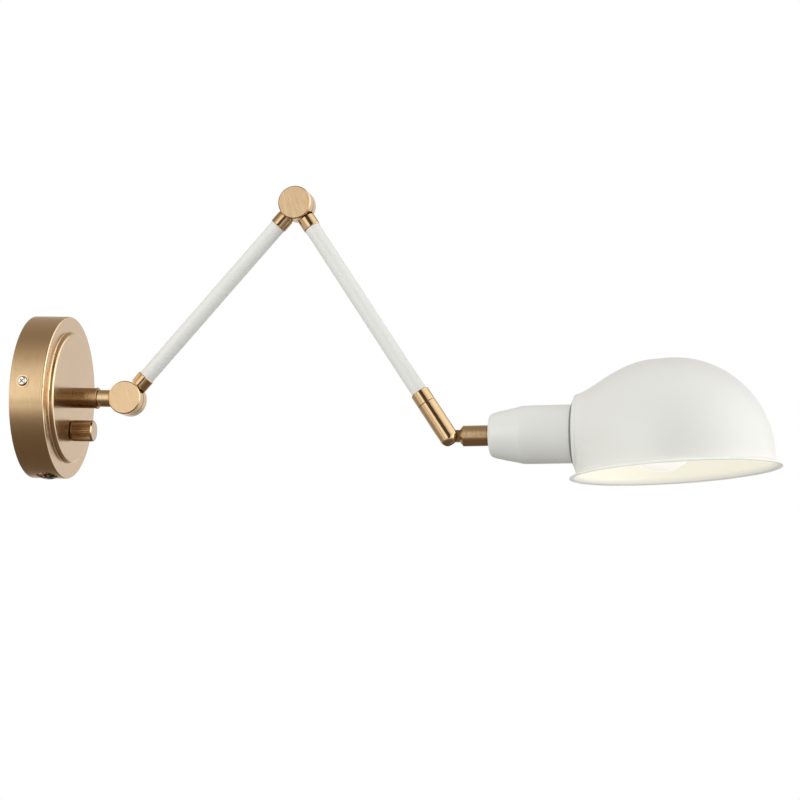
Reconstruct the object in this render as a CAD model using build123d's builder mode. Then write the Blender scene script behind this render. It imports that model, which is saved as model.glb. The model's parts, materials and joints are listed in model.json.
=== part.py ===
from build123d import *
from math import cos, radians, sin
import os

os.makedirs("parts", exist_ok=True)

# Accordion wall lamp, millimetres. The wall is the plane x = 0, +X points out of the wall and
# +Z up. The arms fold in the plane y = 0 and every elbow turns about a line along Y.

running_clearance = 0.05

# --- wall cover -------------------------------------------------------------------------
cover_radius = 59.3
cover_depth = 25.4
cover_wall = 1.2
step_radius = cover_radius - 11.5
step_height = 3.6
edge_round = 1.0
step_round = 1.8
face_x = cover_depth + step_height
inside_x = face_x - cover_wall

# --- bracket behind the cover -----------------------------------------------------------
bracket_thickness = 2.0
bracket_half_width = 9.0
bracket_arm_reach = 46.0
tab_y = cover_radius - 4.6
tab_depth = 16.0
slot_spacing = 70.0
slot_length = 18.0
slot_width = 5.0
side_screw_x = 9.9
side_screw_z = 4.1
side_screw_radius = 2.0
earth_screw_y = -26.0
earth_screw_radius = 2.0
terminal_y = 26.0
terminal_height = 10.0

# --- outlet plug under the cover --------------------------------------------------------
plug_x = 14.6
plug_lean = 8.0
plug_radius = 8.0
plug_rise = 2.0
plug_skirt = 0.7
plug_shank_radius = 6.0

# --- stem and its swivel ----------------------------------------------------------------
sleeve_radius = 7.5
sleeve_end = 47.6
sleeve_lip = 1.2
nipple_radius = 5.9
nipple_bore = 4.2
nipple_start = 20.0
nipple_end = 36.0
sleeve_shoulder = 39.0
journal_end = 36.6
ring_start = 37.7
ring_end = 38.7
journal_radius = 4.5
neck_radius = 6.2
swivel_gap = 0.3

# --- dimmer -----------------------------------------------------------------------------
knob_z = -24.1
knob_radius = 7.7
knob_start = face_x + 0.7
knob_end = 45.6
knurl_count = 40
shaft_radius = 3.0
bushing_radius = 3.6
dimmer_half = 11.0
dimmer_depth = 13.0

# --- elbows -----------------------------------------------------------------------------
shoulder = Vector(69.6, 0, 0)
inner_length = 187.75
inner_angle = 50.24
outer_length = 204.76
outer_angle = -54.71
drum_radius = 12.1
drum_half_depth = 9.0
cap_thickness = 2.2
cap_bevel = 0.7
washer_thickness = 0.8
pocket_radius = 8.5
floor_thickness = 2.4
bolt_radius = 2.5
FRONT = -1
BACK = 1

# --- arm tubes and ferrules -------------------------------------------------------------
tube_radius = 5.75
tube_wall = 1.0
ferrule_radius = 6.4
ferrule_start = 12.4
ferrule_end = 20.9
tube_seat = 4.0
spigot_radius = 4.7
spigot_end = 25.0
wire_radius = 0.45
wire_offset = 2.6
wire_port = 1.5

# --- head knuckle -----------------------------------------------------------------------
knuckle_radius = 6.9
lower_ferrule_start = outer_length - 38.25
lower_ferrule_end = outer_length - 28.55
post_end = outer_length - 16.75
knuckle_tip = outer_length + 6.0
knuckle_round = 4.4
slot_root = outer_length - 5.85
tongue_thickness = 4.0
tongue_half_height = 4.25
tongue_clearance = 0.2
pin_radius = 1.5
tongue_wire_offset = 2.75
tongue_wire_port = 1.05
post_radius = 3.5
post_bore = 2.2

# --- head, measured from the tilt hinge along the head's own axis -----------------------
head_angle = 2.31
collar_start = 9.2
collar_end = 11.0
head_neck_radius = 7.4
head_neck_length = 17.2
head_neck_end = collar_end + head_neck_length
lock_ring_start = head_neck_end + 0.3
lock_ring_end = lock_ring_start + 1.3
cup_start = lock_ring_end + 0.2
cup_length = 58.4
cup_end = cup_start + cup_length
cup_body_start = cup_start + 44.0
cup_radius = 20.7
cup_wall = 1.2
head_nipple_radius = 4.75
head_nipple_bore = 3.4
head_nipple_end = cup_start + 28.0
seam_ring_radius = 23.2
seam_ring_end = cup_end + 1.8
shade_face = seam_ring_end + 0.2
holder_radius = 18.9
holder_back_radius = 15.5
holder_back = cup_start + 20.0
holder_floor = holder_back + 20.0
holder_mouth = shade_face + 12.6
cap_radius = 12.95
cap_wall = 0.6
cap_length = 24.0
cap_back = holder_floor + 4.0
shell_wall = 0.35
bulb_radius = 27.8
bulb_neck = cap_radius - 0.25
bulb_centre = cap_back + 76.0
bulb_wall = 0.9

# --- shade ------------------------------------------------------------------------------
shade_wall = 1.1
rim_radius = 74.4
rim_tilt = 3.24
bead_radius = 0.85
flare = 3.2
dome_radius = rim_radius - 2 * bead_radius + 0.1 - flare
flare_height = flare + 1.4
dome_centre_height = 11.3
collar_radius = 28.2
collar_round = 2.9
collar_length = 3.3
hood_start = shade_face + collar_length
rim_drop = collar_radius + 0.9
dome_along = shade_face + dome_radius + 0.31
dome_level = dome_centre_height * cos(radians(rim_tilt)) - rim_drop
rim_along = dome_along + dome_centre_height * sin(radians(rim_tilt))
# The hood's crest: shares of the way along to the dome's top and of the rise up to it.
hood_crest = ((0.117, 0.152), (0.275, 0.425), (0.47, 0.722), (0.695, 0.93))
hood_end = dome_along - 2.3
blend_level = dome_level + 5.8


# --- frames -----------------------------------------------------------------------------
def direction(angle):
    """Unit vector in the arms' plane, measured up from the horizontal."""
    return Vector(cos(radians(angle)), 0, sin(radians(angle)))


def cross_plane(origin, angle, along=0.0):
    """Plane square to an axis that leaves origin at angle; local x runs along Y."""
    axis_direction = direction(angle)
    return Plane(origin=origin + axis_direction * along, x_dir=(0, 1, 0), z_dir=axis_direction)


def profile_plane(origin, angle):
    """Plane that holds the axis: local x runs along it and local y square to it, upwards."""
    return Plane(origin=origin, x_dir=direction(angle), z_dir=(0, -1, 0))


def drum_plane(centre, side, depth=0.0):
    """Plane across an elbow, depth away from the joint's middle plane on one side."""
    return Plane(origin=(centre.X, side * depth, centre.Z), x_dir=(1, 0, 0), z_dir=(0, side, 0))


def plug_plane(height):
    """Plane square to the outlet plug, height out from the cover's round side."""
    origin = Vector(plug_x, 0, 0) + plug_out * (cover_radius + height)
    return Plane(origin=origin, x_dir=(1, 0, 0), z_dir=plug_out)


wall = Vector(0, 0, 0)
plug_out = Vector(0, -sin(radians(plug_lean)), -cos(radians(plug_lean)))
elbow = shoulder + direction(inner_angle) * inner_length
hinge = elbow + direction(outer_angle) * outer_length
knob_axis = Vector(0, 0, knob_z)


def turned(origin, angle, profile):
    """Round piece turned from a closed profile of (distance along the axis, radius)."""
    plane = profile_plane(origin, angle)
    with BuildPart() as piece:
        with BuildSketch(plane):
            with BuildLine():
                Polyline(*profile, close=True)
            make_face()
        revolve(axis=Axis(origin, direction(angle)))
    return piece


def tube(origin, angle, start, end, outer, inner):
    """Plain length of round tube."""
    return turned(origin, angle, ((start, inner), (end, inner), (end, outer), (start, outer)))


def wire_pair(plane, start, end):
    """Two insulated wires side by side, pulled straight between two points of a plane."""
    with BuildPart() as pair:
        for shift in (-1, 1):
            lane = plane.offset(shift * (wire_radius + 0.05))
            first = lane.from_local_coords(Vector(start[0], start[1], 0))
            last = lane.from_local_coords(Vector(end[0], end[1], 0))
            with BuildSketch(Plane(origin=first, z_dir=last - first)):
                Circle(wire_radius)
            extrude(amount=(last - first).length)
    return pair


# --- pieces behind and in the wall cover ------------------------------------------------
# Steel cross bracket: two arms flat on the wall, the level one with a threaded tab at each end.
with BuildPart() as wall_bracket:
    with BuildSketch(Plane.YZ):
        Rectangle(2 * (tab_y + bracket_thickness), 2 * bracket_half_width)
        Rectangle(2 * bracket_half_width, 2 * bracket_arm_reach)
        with Locations((0, slot_spacing / 2), (0, -slot_spacing / 2)):
            SlotOverall(slot_length, slot_width, rotation=90, mode=Mode.SUBTRACT)
        Circle(5.0, mode=Mode.SUBTRACT)
    extrude(amount=bracket_thickness)
    with BuildSketch(Plane.YZ):
        with Locations((tab_y + bracket_thickness / 2, 0), (-tab_y - bracket_thickness / 2, 0)):
            Rectangle(bracket_thickness, 2 * bracket_half_width)
    extrude(amount=tab_depth)
    with Locations(Plane(origin=(side_screw_x, 0, side_screw_z), z_dir=(0, 1, 0))):
        Hole(side_screw_radius, depth=2 * cover_radius)
    with Locations(Plane(origin=(bracket_thickness, earth_screw_y, 0), z_dir=(1, 0, 0))):
        Hole(earth_screw_radius)
wall_bracket.part.label = "wall_bracket"
export_step(wall_bracket.part, "parts/wall_bracket.step")

# Green earth screw and its washer face on the bracket.
with BuildPart() as earth_screw:
    with BuildSketch(Plane(origin=(bracket_thickness, earth_screw_y, 0), z_dir=(1, 0, 0))):
        Circle(3.6)
    extrude(amount=2.4)
    fillet(earth_screw.faces().sort_by(Axis.X)[-1].edges(), 0.6)
    with BuildSketch(Plane(origin=(bracket_thickness, earth_screw_y, 0), z_dir=(-1, 0, 0))):
        Circle(earth_screw_radius - running_clearance)
    extrude(amount=bracket_thickness - 0.1)
    with BuildSketch(Plane(origin=(bracket_thickness + 2.4, earth_screw_y, 0), z_dir=(1, 0, 0))):
        Rectangle(0.9, 8.0)
    extrude(amount=-1.0, mode=Mode.SUBTRACT)
earth_screw.part.label = "earth_screw"
export_step(earth_screw.part, "parts/earth_screw.step")

# Two-way terminal block with its clamp screw wells and wire entries.
with BuildPart() as terminal_block:
    with BuildSketch(Plane.YZ.offset(bracket_thickness)):
        with Locations((terminal_y, 0)):
            Rectangle(24, 15)
    extrude(amount=terminal_height)
    fillet(terminal_block.edges().filter_by(Axis.X), 1.0)
    with Locations(Plane(origin=(bracket_thickness + terminal_height, terminal_y, 0), z_dir=(1, 0, 0))):
        with GridLocations(8, 11, 2, 2):
            Hole(1.8, depth=5)
    with Locations(Plane(origin=(bracket_thickness + 4, terminal_y, 7.5), z_dir=(0, 0, 1))):
        with GridLocations(1, 11, 1, 2):
            Hole(1.4, depth=4)
terminal_block.part.label = "terminal_block"
export_step(terminal_block.part, "parts/terminal_block.step")

# Spun cover: deep round pan with a raised round step on its front.
with BuildPart() as wall_cover:
    with BuildSketch(profile_plane(wall, 0)):
        with BuildLine():
            Polyline(
                (0, cover_radius),
                (cover_depth, cover_radius),
                (cover_depth, step_radius),
                (face_x, step_radius),
                (face_x, 0),
                (inside_x, 0),
                (inside_x, step_radius - cover_wall),
                (cover_depth - cover_wall, step_radius - cover_wall),
                (cover_depth - cover_wall, cover_radius - cover_wall),
                (0, cover_radius - cover_wall),
                close=True,
            )
        make_face()
    revolve(axis=Axis.X)
    rims = wall_cover.edges().filter_by(GeomType.CIRCLE)
    front_rim = rims.filter_by(lambda edge: abs(edge.center().X - cover_depth) < 0.01)
    fillet(front_rim.sort_by(lambda edge: edge.radius)[-1], edge_round)
    rims = wall_cover.edges().filter_by(GeomType.CIRCLE)
    step_rim = rims.filter_by(lambda edge: abs(edge.center().X - face_x) < 0.01)
    fillet(step_rim.sort_by(lambda edge: edge.radius)[-1], step_round)
    rims = wall_cover.edges().filter_by(GeomType.CIRCLE)
    step_foot = rims.filter_by(lambda edge: abs(edge.center().X - cover_depth) < 0.01)
    fillet(step_foot.sort_by(lambda edge: edge.radius)[0], edge_round)
    with Locations(Plane(origin=(face_x, 0, 0), z_dir=(1, 0, 0))):
        Hole(nipple_radius + 0.2, depth=2 * step_height)
    with Locations(Plane(origin=(face_x, 0, knob_z), z_dir=(1, 0, 0))):
        Hole(bushing_radius + 0.2, depth=2 * step_height)
    with Locations(Plane(origin=(side_screw_x, 0, side_screw_z), z_dir=(0, 1, 0))):
        Hole(side_screw_radius + 0.2, depth=2 * cover_radius)
    with Locations(plug_plane(0)):
        Hole(plug_shank_radius + 0.2, depth=cover_radius / 4)
wall_cover.part.label = "wall_cover"
export_step(wall_cover.part, "parts/wall_cover.step")

# Pair of pan head screws that hold the cover on the bracket's tabs.
with BuildPart() as cover_screws:
    for side in (FRONT, BACK):
        seat = Plane(origin=(side_screw_x, side * cover_radius, side_screw_z), z_dir=(0, side, 0))
        with BuildSketch(seat):
            Circle(4.4)
        extrude(amount=0.6)
        with BuildSketch(seat.offset(0.6)):
            Circle(3.4)
        extrude(amount=1.8)
        fillet(cover_screws.faces().sort_by(Axis.Y)[0 if side == FRONT else -1].edges(), 1.2)
        with BuildSketch(seat):
            Circle(side_screw_radius - running_clearance)
        extrude(amount=-(cover_radius - tab_y + 2.0))
        with BuildSketch(seat.offset(2.4)):
            Rectangle(4.0, 0.8, rotation=45)
            Rectangle(4.0, 0.8, rotation=-45)
        extrude(amount=-1.2, mode=Mode.SUBTRACT)
cover_screws.part.label = "cover_screws"
export_step(cover_screws.part, "parts/cover_screws.step")

# Domed plug that closes the lead outlet under the cover. Its seat follows the cover's curve.
with BuildPart() as outlet_plug:
    dome_bend = (plug_radius**2 + plug_rise**2) / (2 * plug_rise)
    plug_side = Vector(1, 0, 0).cross(plug_out)
    with BuildSketch(Plane(origin=plug_plane(0).origin, x_dir=(1, 0, 0), z_dir=plug_side)):
        with BuildLine():
            Line((0, -plug_skirt), (plug_radius, -plug_skirt))
            Line((plug_radius, -plug_skirt), (plug_radius, 0))
            RadiusArc((plug_radius, 0), (0, plug_rise), -dome_bend)
            Line((0, plug_rise), (0, -plug_skirt))
        make_face()
    revolve(axis=Axis((plug_x, 0, 0), plug_out))
    with BuildSketch(Plane.YZ):
        Circle(cover_radius)
    extrude(amount=cover_depth, mode=Mode.SUBTRACT)
    with BuildSketch(plug_plane(0.5)):
        Circle(plug_shank_radius)
    extrude(amount=-9.5)
outlet_plug.part.label = "outlet_plug"
export_step(outlet_plug.part, "parts/outlet_plug.step")

with BuildPart() as outlet_plug_nut:
    with BuildSketch(plug_plane(-2.6)):
        RegularPolygon(8.6, 6)
        Circle(plug_shank_radius + running_clearance, mode=Mode.SUBTRACT)
    extrude(amount=-3.0)
outlet_plug_nut.part.label = "outlet_plug_nut"
export_step(outlet_plug_nut.part, "parts/outlet_plug_nut.step")

# --- stem -------------------------------------------------------------------------------
# The sleeve stands on the cover and holds the swivel journal. The nipple clamps it from inside.
stem_sleeve = turned(
    wall,
    0,
    (
        (face_x, nipple_radius),
        (sleeve_shoulder, nipple_radius),
        (sleeve_shoulder, journal_radius + running_clearance),
        (sleeve_end, journal_radius + running_clearance),
        (sleeve_end, sleeve_radius),
        (sleeve_end - 0.3, sleeve_radius + 0.25),
        (sleeve_end - sleeve_lip, sleeve_radius + 0.25),
        (sleeve_end - sleeve_lip, sleeve_radius),
        (face_x, sleeve_radius),
    ),
)
stem_sleeve.part.label = "stem_sleeve"
export_step(stem_sleeve.part, "parts/stem_sleeve.step")

stem_nipple = tube(wall, 0, nipple_start, nipple_end, nipple_radius, nipple_bore)
stem_nipple.part.label = "stem_nipple"
export_step(stem_nipple.part, "parts/stem_nipple.step")

stem_washer = tube(wall, 0, inside_x - 1.2, inside_x, 10.5, nipple_radius + 0.1)
stem_washer.part.label = "stem_washer"
export_step(stem_washer.part, "parts/stem_washer.step")

with BuildPart() as stem_nut:
    with BuildSketch(Plane.YZ.offset(inside_x - 4.4)):
        RegularPolygon(9.2, 6)
        Circle(nipple_radius + running_clearance, mode=Mode.SUBTRACT)
    extrude(amount=3.2)
stem_nut.part.label = "stem_nut"
export_step(stem_nut.part, "parts/stem_nut.step")

# --- dimmer -----------------------------------------------------------------------------
with BuildPart() as dimmer:
    with BuildSketch(Plane.YZ.offset(inside_x - dimmer_depth)):
        with Locations((0, knob_z)):
            Rectangle(2 * dimmer_half, 2 * dimmer_half)
    extrude(amount=dimmer_depth)
    fillet(dimmer.edges().filter_by(Axis.X), 1.5)
    with BuildSketch(Plane.YZ.offset(inside_x)):
        with Locations((0, knob_z)):
            Circle(bushing_radius)
    extrude(amount=6.2)
    with Locations(Plane(origin=(inside_x + 6.2, 0, knob_z), z_dir=(1, 0, 0))):
        Hole(shaft_radius + running_clearance, depth=16.0)
dimmer.part.label = "dimmer"
export_step(dimmer.part, "parts/dimmer.step")

with BuildPart() as dimmer_nut:
    with BuildSketch(Plane.YZ.offset(face_x)):
        with Locations((0, knob_z)):
            RegularPolygon(5.7, 6)
            Circle(bushing_radius + running_clearance, mode=Mode.SUBTRACT)
    extrude(amount=2.2)
dimmer_nut.part.label = "dimmer_nut"
export_step(dimmer_nut.part, "parts/dimmer_nut.step")

with BuildPart() as dimmer_shaft:
    with BuildSketch(Plane.YZ.offset(inside_x - 9.0)):
        with Locations((0, knob_z)):
            Circle(shaft_radius)
    extrude(amount=knob_end - 2.5 - inside_x + 9.0)
    with BuildSketch(Plane.YZ.offset(knob_end - 10.0)):
        with Locations((0, knob_z + shaft_radius + 1.2)):
            Rectangle(2 * shaft_radius, 4.0)
    extrude(amount=12.0, mode=Mode.SUBTRACT)
dimmer_shaft.part.label = "dimmer_shaft"
export_step(dimmer_shaft.part, "parts/dimmer_shaft.step")

# Straight-knurled knob, hollowed at the back over the dimmer's nut and bushing.
with BuildPart() as dimmer_knob:
    with BuildSketch(Plane.YZ.offset(knob_start)):
        with Locations((0, knob_z)):
            Circle(knob_radius)
    extrude(amount=knob_end - knob_start)
    chamfer(dimmer_knob.faces().sort_by(Axis.X)[-1].edges(), 0.7)
    with BuildSketch(Plane.YZ.offset(knob_start + 0.8)):
        with Locations((0, knob_z)):
            with PolarLocations(knob_radius, knurl_count):
                Rectangle(0.5, 0.5, rotation=45)
    extrude(amount=knob_end - knob_start - 2.0, mode=Mode.SUBTRACT)
    with Locations(Plane(origin=(knob_start, 0, knob_z), z_dir=(-1, 0, 0))):
        Hole(6.1, depth=5.2)
    with BuildSketch(Plane.YZ.offset(knob_start)):
        with Locations((0, knob_z)):
            Circle(shaft_radius + 0.02)
        with Locations((0, knob_z + shaft_radius + 1.24)):
            Rectangle(2 * shaft_radius + 1, 4.0, mode=Mode.SUBTRACT)
    extrude(amount=knob_end - 2.4 - knob_start, mode=Mode.SUBTRACT)
    with BuildSketch(Plane.YZ.offset(knob_start)):
        with Locations((0, knob_z)):
            Circle(shaft_radius + 0.02)
    extrude(amount=knob_end - 9.9 - knob_start, mode=Mode.SUBTRACT)
dimmer_knob.part.label = "dimmer_knob"
export_step(dimmer_knob.part, "parts/dimmer_knob.step")


# --- elbows -----------------------------------------------------------------------------
def elbow_half(centre, side, angle, stub_radius, stub_end):
    """Half of an elbow drum with the stub that carries its arm, hollow round the pivot bolt."""
    part_plane = drum_plane(centre, side, washer_thickness / 2)
    with BuildPart() as half:
        with BuildSketch(cross_plane(centre, angle)):
            Circle(neck_radius)
        extrude(amount=ferrule_start)
        split(bisect_by=part_plane, keep=Keep.TOP)
        with BuildSketch(part_plane):
            Circle(drum_radius)
        extrude(amount=drum_half_depth - washer_thickness / 2 - cap_thickness)
        with BuildSketch(cross_plane(centre, angle, ferrule_start)):
            Circle(stub_radius)
        extrude(amount=stub_end - ferrule_start)
        with BuildSketch(part_plane.offset(floor_thickness)):
            Circle(pocket_radius)
        extrude(amount=drum_half_depth, mode=Mode.SUBTRACT)
        with BuildSketch(part_plane):
            Circle(bolt_radius + running_clearance)
        extrude(amount=floor_thickness, mode=Mode.SUBTRACT)
        with BuildSketch(cross_plane(centre, angle, pocket_radius - 1.5)):
            with Locations((side * wire_offset, 0)):
                Circle(wire_port)
        extrude(amount=stub_end - pocket_radius + 3.0, mode=Mode.SUBTRACT)
    return half


def drum_cap(centre, side):
    """Bevelled round cap that closes one side of an elbow, with a locating ring."""
    seat_depth = drum_half_depth - cap_thickness
    with BuildPart() as cap:
        with BuildSketch(drum_plane(centre, side, seat_depth)):
            Circle(drum_radius)
        extrude(amount=cap_thickness)
        chamfer(cap.faces().sort_by(Axis.Y)[0 if side == FRONT else -1].edges(), cap_bevel)
        with BuildSketch(drum_plane(centre, side, seat_depth)):
            Circle(pocket_radius - 0.05)
            Circle(pocket_radius - 1.2, mode=Mode.SUBTRACT)
        extrude(amount=-1.2)
    return cap


def pivot_bolt(centre):
    """Cap bolt through both halves, its head in the front half's pocket."""
    head_seat = washer_thickness / 2 + floor_thickness
    with BuildPart() as bolt:
        with BuildSketch(drum_plane(centre, FRONT, head_seat)):
            Circle(4.3)
        extrude(amount=2.8)
        with BuildSketch(drum_plane(centre, FRONT, head_seat)):
            Circle(bolt_radius)
        extrude(amount=-(head_seat + 6.3))
        with BuildSketch(drum_plane(centre, FRONT, head_seat + 2.8)):
            RegularPolygon(2.3, 6)
        extrude(amount=-1.6, mode=Mode.SUBTRACT)
    return bolt


def pivot_nut(centre):
    """Lock nut in the back half's pocket, just clear of its floor."""
    nut_seat = washer_thickness / 2 + floor_thickness + running_clearance
    with BuildPart() as nut:
        with BuildSketch(drum_plane(centre, BACK, nut_seat)):
            RegularPolygon(4.6, 6)
            Circle(bolt_radius, mode=Mode.SUBTRACT)
        extrude(amount=3.2)
    return nut


def friction_washer(centre):
    """Ring between the two halves that lets the elbow turn and holds it where it is put."""
    with BuildPart() as washer:
        with BuildSketch(drum_plane(centre, BACK, -washer_thickness / 2)):
            Circle(drum_radius - 0.6)
            Circle(pocket_radius - 0.3, mode=Mode.SUBTRACT)
        extrude(amount=washer_thickness - running_clearance)
    return washer


# Shoulder: the front half of the first drum, its neck and the journal that turns in the sleeve.
neck_start = shoulder.X - sleeve_end - swivel_gap
shoulder_drum = elbow_half(shoulder, FRONT, 180, neck_radius, neck_start)
with BuildPart() as shoulder_half:
    add(shoulder_drum.part)
    with BuildSketch(cross_plane(shoulder, 180, neck_start)):
        Circle(journal_radius)
    extrude(amount=sleeve_end - journal_end)
    with BuildSketch(cross_plane(shoulder, 180, shoulder.X - ring_end - 0.05)):
        Circle(journal_radius + 1)
        Circle(journal_radius - 0.65, mode=Mode.SUBTRACT)
    extrude(amount=ring_end - ring_start + 0.1, mode=Mode.SUBTRACT)
    with BuildSketch(cross_plane(shoulder, 180, neck_start - 1.0)):
        with Locations((-wire_offset, 0)):
            Circle(wire_port)
    extrude(amount=14.0, mode=Mode.SUBTRACT)
shoulder_half.part.label = "shoulder_half"
export_step(shoulder_half.part, "parts/shoulder_half.step")

# Retaining ring snapped in the journal's groove, behind the sleeve's inner shoulder.
journal_ring = tube(wall, 0, ring_start, ring_end, nipple_radius - 0.2, journal_radius - 0.6)
journal_ring.part.label = "journal_ring"
export_step(journal_ring.part, "parts/journal_ring.step")

shoulder_cap = drum_cap(shoulder, FRONT)
shoulder_cap.part.label = "shoulder_cap"
export_step(shoulder_cap.part, "parts/shoulder_cap.step")

shoulder_bolt = pivot_bolt(shoulder)
shoulder_bolt.part.label = "shoulder_bolt"
export_step(shoulder_bolt.part, "parts/shoulder_bolt.step")

shoulder_nut = pivot_nut(shoulder)
shoulder_nut.part.label = "shoulder_nut"
export_step(shoulder_nut.part, "parts/shoulder_nut.step")

shoulder_washer = friction_washer(shoulder)
shoulder_washer.part.label = "shoulder_washer"
export_step(shoulder_washer.part, "parts/shoulder_washer.step")


# --- arms -------------------------------------------------------------------------------
def ferrule(origin, angle, start, end, radius, bore):
    """Brass ferrule: its near end fits the stub and its far end takes the tube."""
    seat = end - tube_seat
    return turned(
        origin,
        angle,
        (
            (start, bore),
            (seat - 0.02, bore),
            (seat - 0.02, tube_radius + 0.02),
            (end, tube_radius + 0.02),
            (end, radius - 0.3),
            (end - 0.3, radius),
            (start + 0.3, radius),
            (start, radius - 0.3),
        ),
    )


tube_start = ferrule_end - tube_seat

inner_arm_lower_half = elbow_half(shoulder, BACK, inner_angle, spigot_radius, spigot_end)
inner_arm_lower_half.part.label = "inner_arm_lower_half"
export_step(inner_arm_lower_half.part, "parts/inner_arm_lower_half.step")

inner_arm_lower_cap = drum_cap(shoulder, BACK)
inner_arm_lower_cap.part.label = "inner_arm_lower_cap"
export_step(inner_arm_lower_cap.part, "parts/inner_arm_lower_cap.step")

stub_bore = spigot_radius + running_clearance
inner_arm_lower_ferrule = ferrule(shoulder, inner_angle, ferrule_start, ferrule_end, ferrule_radius, stub_bore)
inner_arm_lower_ferrule.part.label = "inner_arm_lower_ferrule"
export_step(inner_arm_lower_ferrule.part, "parts/inner_arm_lower_ferrule.step")

inner_arm_tube = tube(
    shoulder, inner_angle, tube_start, inner_length - tube_start, tube_radius, tube_radius - tube_wall
)
inner_arm_tube.part.label = "inner_arm_tube"
export_step(inner_arm_tube.part, "parts/inner_arm_tube.step")

back_angle = inner_angle + 180
inner_arm_upper_ferrule = ferrule(elbow, back_angle, ferrule_start, ferrule_end, ferrule_radius, stub_bore)
inner_arm_upper_ferrule.part.label = "inner_arm_upper_ferrule"
export_step(inner_arm_upper_ferrule.part, "parts/inner_arm_upper_ferrule.step")

inner_arm_upper_half = elbow_half(elbow, FRONT, back_angle, spigot_radius, spigot_end)
inner_arm_upper_half.part.label = "inner_arm_upper_half"
export_step(inner_arm_upper_half.part, "parts/inner_arm_upper_half.step")

inner_arm_upper_cap = drum_cap(elbow, FRONT)
inner_arm_upper_cap.part.label = "inner_arm_upper_cap"
export_step(inner_arm_upper_cap.part, "parts/inner_arm_upper_cap.step")

elbow_bolt = pivot_bolt(elbow)
elbow_bolt.part.label = "elbow_bolt"
export_step(elbow_bolt.part, "parts/elbow_bolt.step")

elbow_nut = pivot_nut(elbow)
elbow_nut.part.label = "elbow_nut"
export_step(elbow_nut.part, "parts/elbow_nut.step")

elbow_washer = friction_washer(elbow)
elbow_washer.part.label = "elbow_washer"
export_step(elbow_washer.part, "parts/elbow_washer.step")

outer_arm_upper_half = elbow_half(elbow, BACK, outer_angle, spigot_radius, spigot_end)
outer_arm_upper_half.part.label = "outer_arm_upper_half"
export_step(outer_arm_upper_half.part, "parts/outer_arm_upper_half.step")

outer_arm_upper_cap = drum_cap(elbow, BACK)
outer_arm_upper_cap.part.label = "outer_arm_upper_cap"
export_step(outer_arm_upper_cap.part, "parts/outer_arm_upper_cap.step")

outer_arm_upper_ferrule = ferrule(elbow, outer_angle, ferrule_start, ferrule_end, ferrule_radius, stub_bore)
outer_arm_upper_ferrule.part.label = "outer_arm_upper_ferrule"
export_step(outer_arm_upper_ferrule.part, "parts/outer_arm_upper_ferrule.step")

outer_tube_end = lower_ferrule_start + tube_seat
outer_arm_tube = tube(elbow, outer_angle, tube_start, outer_tube_end, tube_radius, tube_radius - tube_wall)
outer_arm_tube.part.label = "outer_arm_tube"
export_step(outer_arm_tube.part, "parts/outer_arm_tube.step")

# The last ferrule looks back up the arm, so its stub end is the swivel face of the knuckle.
outer_arm_lower_ferrule = ferrule(
    elbow + direction(outer_angle) * (lower_ferrule_start + lower_ferrule_end),
    outer_angle + 180,
    lower_ferrule_start,
    lower_ferrule_end,
    knuckle_radius,
    post_radius + running_clearance,
)
outer_arm_lower_ferrule.part.label = "outer_arm_lower_ferrule"
export_step(outer_arm_lower_ferrule.part, "parts/outer_arm_lower_ferrule.step")

# Insulated wires inside each straight run, from one drum's pocket to the next.
inner_arm_wires = wire_pair(
    Plane(origin=shoulder, x_dir=direction(inner_angle), z_dir=direction(inner_angle + 90)),
    (ferrule_start, wire_offset),
    (inner_length - ferrule_start, -wire_offset),
)
inner_arm_wires.part.label = "inner_arm_wires"
export_step(inner_arm_wires.part, "parts/inner_arm_wires.step")

outer_arm_wires = wire_pair(
    Plane(origin=elbow, x_dir=direction(outer_angle), z_dir=direction(outer_angle + 90)),
    (ferrule_start, wire_offset),
    (slot_root - 2.0, 0),
)
outer_arm_wires.part.label = "outer_arm_wires"
export_step(outer_arm_wires.part, "parts/outer_arm_wires.step")

stem_wires = wire_pair(
    Plane(origin=wall, x_dir=(1, 0, 0), z_dir=(0, 0, 1)),
    (nipple_start - 3.0, -wire_offset),
    (shoulder.X - ferrule_start, -wire_offset),
)
stem_wires.part.label = "stem_wires"
export_step(stem_wires.part, "parts/stem_wires.step")

# --- head knuckle -----------------------------------------------------------------------
# Hollow swivel post: flange inside the arm tube, shank down into the knuckle.
post_seat = outer_tube_end
swivel_post = turned(
    elbow,
    outer_angle,
    (
        (post_seat - 1.6, post_bore),
        (post_end, post_bore),
        (post_end, post_radius),
        (post_seat - running_clearance, post_radius),
        (post_seat - running_clearance, 4.5),
        (post_seat - 1.6, 4.5),
    ),
)
swivel_post.part.label = "swivel_post"
export_step(swivel_post.part, "parts/swivel_post.step")

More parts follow.
